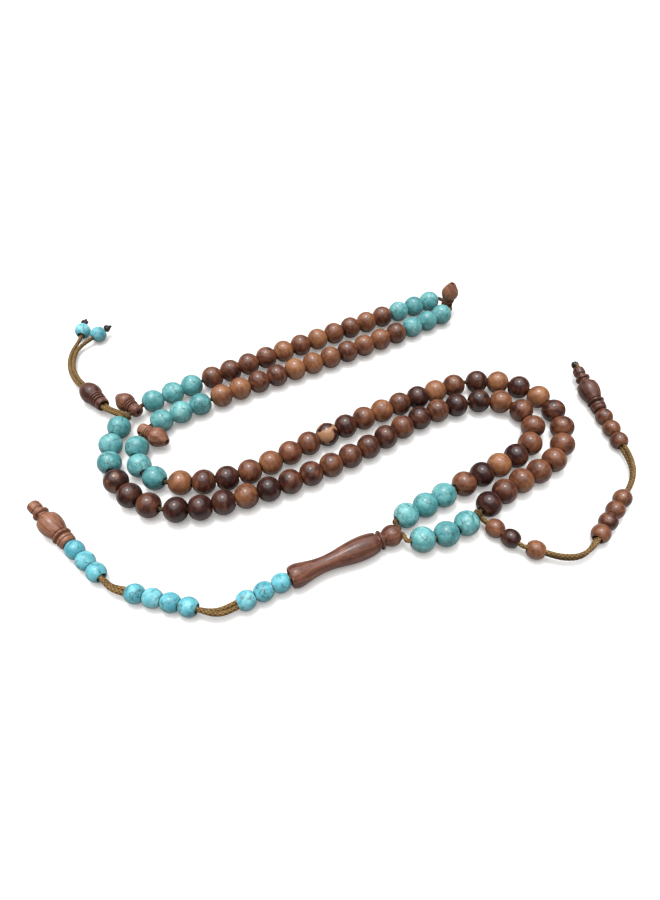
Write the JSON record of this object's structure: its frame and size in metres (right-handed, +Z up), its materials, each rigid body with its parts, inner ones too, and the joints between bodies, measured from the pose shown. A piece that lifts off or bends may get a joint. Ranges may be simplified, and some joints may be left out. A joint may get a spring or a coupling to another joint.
{
  "type": "prayer beads",
  "caption": "String of wooden and turquoise prayer beads lying in an S, with a turned leader bead, crosswise separators, two counter tails and a sliding place marker.",
  "frame": {"origin": "on the floor, under the middle of the whole string's box as it lies", "axes": "+Z up from the floor; +X along the length of the layout, from the end of the turquoise tail towards the tails' root; +Y across it, from the leader bead towards the tip of the loop"},
  "size_m": [0.1932, 0.1332, 0.0129],
  "materials": {
    "cord_a_left": "braided cord",
    "cord_a_middle": "braided cord",
    "cord_a_right": "braided cord",
    "cord_b_left": "braided cord",
    "cord_b_middle": "braided cord",
    "cord_b_right": "braided cord",
    "cord_fork": "braided cord",
    "cord_leader": "braided cord",
    "cord_marker": "braided cord",
    "cord_top": "braided cord",
    "cord_turquoise_tail_end": "braided cord",
    "cord_turquoise_tail_middle": "braided cord",
    "cord_wood_tail_end": "braided cord",
    "cord_wood_tail_middle": "braided cord",
    "cord_wood_tail_tied": "braided cord",
    "imame": "satin",
    "marker_bead_1": "polished stone-like",
    "marker_bead_2": "polished stone-like",
    "separator_1": "satin",
    "separator_2": "satin",
    "separator_3": "satin",
    "slider": "satin",
    "turquoise_a_after_separator": "polished stone-like",
    "turquoise_a_before_separator": "polished stone-like",
    "turquoise_a_leader": "polished stone-like",
    "turquoise_a_tip": "polished stone-like",
    "turquoise_b_after_separator": "polished stone-like",
    "turquoise_b_before_separator": "polished stone-like",
    "turquoise_b_leader": "polished stone-like",
    "turquoise_b_tip": "polished stone-like",
    "turquoise_counter_1": "polished stone-like",
    "turquoise_counter_10": "polished stone-like",
    "turquoise_counter_2": "polished stone-like",
    "turquoise_counter_3": "polished stone-like",
    "turquoise_counter_4": "polished stone-like",
    "turquoise_counter_5": "polished stone-like",
    "turquoise_counter_6": "polished stone-like",
    "turquoise_counter_7": "polished stone-like",
    "turquoise_counter_8": "polished stone-like",
    "turquoise_counter_9": "polished stone-like",
    "turquoise_tail_finial": "satin",
    "wood_a_left": "polished",
    "wood_a_middle": "polished",
    "wood_a_right": "polished",
    "wood_a_top": "polished",
    "wood_b_middle": "polished",
    "wood_b_right": "polished",
    "wood_b_top": "polished",
    "wood_counter_1": "polished",
    "wood_counter_10": "polished",
    "wood_counter_2": "polished",
    "wood_counter_3": "polished",
    "wood_counter_4": "polished",
    "wood_counter_5": "polished",
    "wood_counter_6": "polished",
    "wood_counter_7": "polished",
    "wood_counter_8": "polished",
    "wood_counter_9": "polished",
    "wood_tail_finial": "satin"
  },
  "bodies": {
    "leader": {"cord_leader": "cord_leader", "imame": "imame"},
    "fork": {"cord_fork": "cord_fork", "turquoise_a_leader": "turquoise_a_leader", "turquoise_b_leader": "turquoise_b_leader"},
    "right": {"cord_a_right": "cord_a_right", "cord_b_right": "cord_b_right", "wood_a_right": "wood_a_right", "wood_b_right": "wood_b_right"},
    "middle": {"cord_a_middle": "cord_a_middle", "cord_b_middle": "cord_b_middle", "wood_a_middle": "wood_a_middle", "wood_b_middle": "wood_b_middle"},
    "left": {"cord_a_left": "cord_a_left", "cord_b_left": "cord_b_left", "turquoise_a_after_separator": "turquoise_a_after_separator", "turquoise_a_before_separator": "turquoise_a_before_separator", "turquoise_b_after_separator": "turquoise_b_after_separator", "turquoise_b_before_separator": "turquoise_b_before_separator", "wood_a_left": "wood_a_left"},
    "top": {"cord_top": "cord_top", "turquoise_a_tip": "turquoise_a_tip", "turquoise_b_tip": "turquoise_b_tip", "wood_a_top": "wood_a_top", "wood_b_top": "wood_b_top"},
    "separator_1": {"separator_1": "separator_1"},
    "separator_2": {"separator_2": "separator_2"},
    "separator_3": {"separator_3": "separator_3"},
    "turquoise_tail_middle": {"cord_turquoise_tail_middle": "cord_turquoise_tail_middle"},
    "turquoise_tail_end": {"cord_turquoise_tail_end": "cord_turquoise_tail_end", "turquoise_tail_finial": "turquoise_tail_finial"},
    "turquoise_counter_1": {"turquoise_counter_1": "turquoise_counter_1"},
    "turquoise_counter_2": {"turquoise_counter_2": "turquoise_counter_2"},
    "turquoise_counter_3": {"turquoise_counter_3": "turquoise_counter_3"},
    "turquoise_counter_4": {"turquoise_counter_4": "turquoise_counter_4"},
    "turquoise_counter_5": {"turquoise_counter_5": "turquoise_counter_5"},
    "turquoise_counter_6": {"turquoise_counter_6": "turquoise_counter_6"},
    "turquoise_counter_7": {"turquoise_counter_7": "turquoise_counter_7"},
    "turquoise_counter_8": {"turquoise_counter_8": "turquoise_counter_8"},
    "turquoise_counter_9": {"turquoise_counter_9": "turquoise_counter_9"},
    "turquoise_counter_10": {"turquoise_counter_10": "turquoise_counter_10"},
    "wood_tail_tied": {"cord_wood_tail_tied": "cord_wood_tail_tied"},
    "wood_tail_middle": {"cord_wood_tail_middle": "cord_wood_tail_middle"},
    "wood_tail_end": {"cord_wood_tail_end": "cord_wood_tail_end", "wood_tail_finial": "wood_tail_finial"},
    "wood_counter_1": {"wood_counter_1": "wood_counter_1"},
    "wood_counter_2": {"wood_counter_2": "wood_counter_2"},
    "wood_counter_3": {"wood_counter_3": "wood_counter_3"},
    "wood_counter_4": {"wood_counter_4": "wood_counter_4"},
    "wood_counter_5": {"wood_counter_5": "wood_counter_5"},
    "wood_counter_6": {"wood_counter_6": "wood_counter_6"},
    "wood_counter_7": {"wood_counter_7": "wood_counter_7"},
    "wood_counter_8": {"wood_counter_8": "wood_counter_8"},
    "wood_counter_9": {"wood_counter_9": "wood_counter_9"},
    "wood_counter_10": {"wood_counter_10": "wood_counter_10"},
    "marker": {"cord_marker": "cord_marker"},
    "slider": {"slider": "slider"},
    "marker_bead_1": {"marker_bead_1": "marker_bead_1"},
    "marker_bead_2": {"marker_bead_2": "marker_bead_2"}
  },
  "joints": [
    {"name": "fork_fold", "type": "hinge", "parent": "leader", "child": "fork", "pos_m": [0.02008, -0.04138, 0.00345], "axis": [0.4226, -0.9063, 0], "range_deg": [-2, 2]},
    {"name": "right_fold", "type": "hinge", "parent": "fork", "child": "right", "pos_m": [0.04096, -0.03076, 0.004], "axis": [0.6421, -0.7666, 0], "range_deg": [-4, 2]},
    {"name": "middle_fold", "type": "hinge", "parent": "right", "child": "middle", "pos_m": [0.04673, 0.01337, 0.004], "axis": [0.0376, 0.9993, 0], "range_deg": [0, 25]},
    {"name": "left_fold", "type": "hinge", "parent": "middle", "child": "left", "pos_m": [-0.05001, -0.02903, 0.004], "axis": [0.0047, 1, 0], "range_deg": [-5, 2]},
    {"name": "top_fold", "type": "hinge", "parent": "left", "child": "top", "pos_m": [-0.04276, 0.01433, 0.004], "axis": [0.4298, -0.9029, 0], "range_deg": [0, 25]},
    {"name": "separator_1_swing", "type": "hinge", "parent": "left", "child": "separator_1", "pos_m": [-0.06551, 0.00532, 0.004], "axis": [0.647, 0.7625, 0], "range_deg": [0, 60]},
    {"name": "separator_2_swing", "type": "hinge", "parent": "left", "child": "separator_2", "pos_m": [-0.06059, -0.00384, 0.004], "axis": [-0.5064, -0.8623, 0], "range_deg": [0, 60]},
    {"name": "separator_3_swing", "type": "hinge", "parent": "top", "child": "separator_3", "pos_m": [0.0459, 0.06143, 0.0034], "axis": [0.4883, -0.8727, 0], "range_deg": [-62, 4]},
    {"name": "turquoise_tail_middle_swing", "type": "hinge", "parent": "leader", "child": "turquoise_tail_middle", "pos_m": [-0.02992, -0.06532, 0.00285], "axis": [0, 0, 1], "range_deg": [-5, 30]},
    {"name": "turquoise_tail_end_swing", "type": "hinge", "parent": "turquoise_tail_middle", "child": "turquoise_tail_end", "pos_m": [-0.0597, -0.0582, 0.00285], "axis": [0, 0, 1], "range_deg": [-8, 30]},
    {"name": "wood_tail_tied_lift", "type": "hinge", "parent": "fork", "child": "wood_tail_tied", "pos_m": [0.04337, -0.03575, 0.004], "axis": [-0.6953, -0.7188, 0], "range_deg": [0, 35]},
    {"name": "wood_tail_middle_swing", "type": "hinge", "parent": "wood_tail_tied", "child": "wood_tail_middle", "pos_m": [0.07009, -0.04884, 0.0028], "axis": [0, 0, 1], "range_deg": [-25, 0]},
    {"name": "wood_tail_end_swing", "type": "hinge", "parent": "wood_tail_middle", "child": "wood_tail_end", "pos_m": [0.09463, -0.01906, 0.0028], "axis": [0, 0, 1], "range_deg": [-35, 0]},
    {"name": "marker_lift", "type": "hinge", "parent": "left", "child": "marker", "pos_m": [-0.06776, 0.00214, 0.004], "axis": [0.5066, 0.8622, 0], "range_deg": [0, 55]},
    {"name": "turquoise_counter_1_spin", "type": "hinge", "parent": "leader", "child": "turquoise_counter_1", "pos_m": [-0.01346, -0.05718, 0.00336], "axis": [-0.8825, -0.4692, -0.0329], "continuous": true},
    {"name": "turquoise_counter_2_spin", "type": "hinge", "parent": "leader", "child": "turquoise_counter_2", "pos_m": [-0.01805, -0.05962, 0.00319], "axis": [-0.8825, -0.4692, -0.0329], "continuous": true},
    {"name": "turquoise_counter_3_slide", "type": "slide", "parent": "leader", "child": "turquoise_counter_3", "axis": [-0.8825, -0.4692, -0.0329], "range_m": [0, 0.0022]},
    {"name": "turquoise_counter_4_slide", "type": "slide", "parent": "turquoise_tail_middle", "child": "turquoise_counter_4", "axis": [-0.9703, 0.2419, 0], "range_m": [-0.0024, 0]},
    {"name": "turquoise_counter_5_spin", "type": "hinge", "parent": "turquoise_tail_middle", "child": "turquoise_counter_5", "pos_m": [-0.04297, -0.06263, 0.00285], "axis": [-0.9703, 0.2419, 0], "continuous": true},
    {"name": "turquoise_counter_6_spin", "type": "hinge", "parent": "turquoise_tail_middle", "child": "turquoise_counter_6", "pos_m": [-0.04801, -0.06137, 0.00285], "axis": [-0.9703, 0.2419, 0], "continuous": true},
    {"name": "turquoise_counter_7_slide", "type": "slide", "parent": "turquoise_tail_middle", "child": "turquoise_counter_7", "axis": [-0.9703, 0.2419, 0], "range_m": [0, 0.002]},
    {"name": "turquoise_counter_8_slide", "type": "slide", "parent": "turquoise_tail_end", "child": "turquoise_counter_8", "axis": [-0.7431, 0.6691, 0], "range_m": [-0.002, 0]},
    {"name": "turquoise_counter_9_spin", "type": "hinge", "parent": "turquoise_tail_end", "child": "turquoise_counter_9", "pos_m": [-0.06882, -0.05032, 0.00285], "axis": [-0.7431, 0.6691, 0], "continuous": true},
    {"name": "turquoise_counter_10_spin", "type": "hinge", "parent": "turquoise_tail_end", "child": "turquoise_counter_10", "pos_m": [-0.07268, -0.04684, 0.00285], "axis": [-0.7431, 0.6691, 0], "continuous": true},
    {"name": "wood_counter_1_spin", "type": "hinge", "parent": "wood_tail_tied", "child": "wood_counter_1", "pos_m": [0.0481, -0.03972, 0.0028], "axis": [0.766, -0.6428, 0], "continuous": true},
    {"name": "wood_counter_2_slide", "type": "slide", "parent": "wood_tail_tied", "child": "wood_counter_2", "axis": [0.766, -0.6428, 0], "range_m": [0, 0.0015]},
    {"name": "wood_counter_3_slide", "type": "slide", "parent": "wood_tail_tied", "child": "wood_counter_3", "axis": [0.9397, -0.342, 0], "range_m": [0, 0.002]},
    {"name": "wood_counter_4_slide", "type": "slide", "parent": "wood_tail_middle", "child": "wood_counter_4", "axis": [0.6293, 0.7771, 0], "range_m": [-0.0018, 0]},
    {"name": "wood_counter_5_spin", "type": "hinge", "parent": "wood_tail_middle", "child": "wood_counter_5", "pos_m": [0.08175, -0.03745, 0.0028], "axis": [0.6293, 0.7771, 0], "continuous": true},
    {"name": "wood_counter_6_spin", "type": "hinge", "parent": "wood_tail_middle", "child": "wood_counter_6", "pos_m": [0.08502, -0.03341, 0.0028], "axis": [0.6293, 0.7771, 0], "continuous": true},
    {"name": "wood_counter_7_slide", "type": "slide", "parent": "wood_tail_middle", "child": "wood_counter_7", "axis": [0.6293, 0.7771, 0], "range_m": [0, 0.0018]},
    {"name": "wood_counter_8_slide", "type": "slide", "parent": "wood_tail_end", "child": "wood_counter_8", "axis": [-0.1908, 0.9816, 0], "range_m": [-0.0018, 0]},
    {"name": "wood_counter_9_spin", "type": "hinge", "parent": "wood_tail_end", "child": "wood_counter_9", "pos_m": [0.09287, -0.00183, 0.0028], "axis": [-0.1908, 0.9816, 0], "continuous": true},
    {"name": "wood_counter_10_spin", "type": "hinge", "parent": "wood_tail_end", "child": "wood_counter_10", "pos_m": [0.09188, 0.00327, 0.0028], "axis": [-0.1908, 0.9816, 0], "continuous": true},
    {"name": "slider_slide", "type": "slide", "parent": "marker", "child": "slider", "axis": [-0.7071, 0.7071, 0], "range_m": [0, 0.0022]},
    {"name": "marker_bead_1_spin", "type": "hinge", "parent": "marker", "child": "marker_bead_1", "pos_m": [-0.09382, 0.04619, 0.00293], "axis": [0.0025, 0.9918, 0.1275], "continuous": true},
    {"name": "marker_bead_2_spin", "type": "hinge", "parent": "marker", "child": "marker_bead_2", "pos_m": [-0.08746, 0.04432, 0.00292], "axis": [0.7036, 0.7036, 0.0995], "continuous": true}
  ]
}
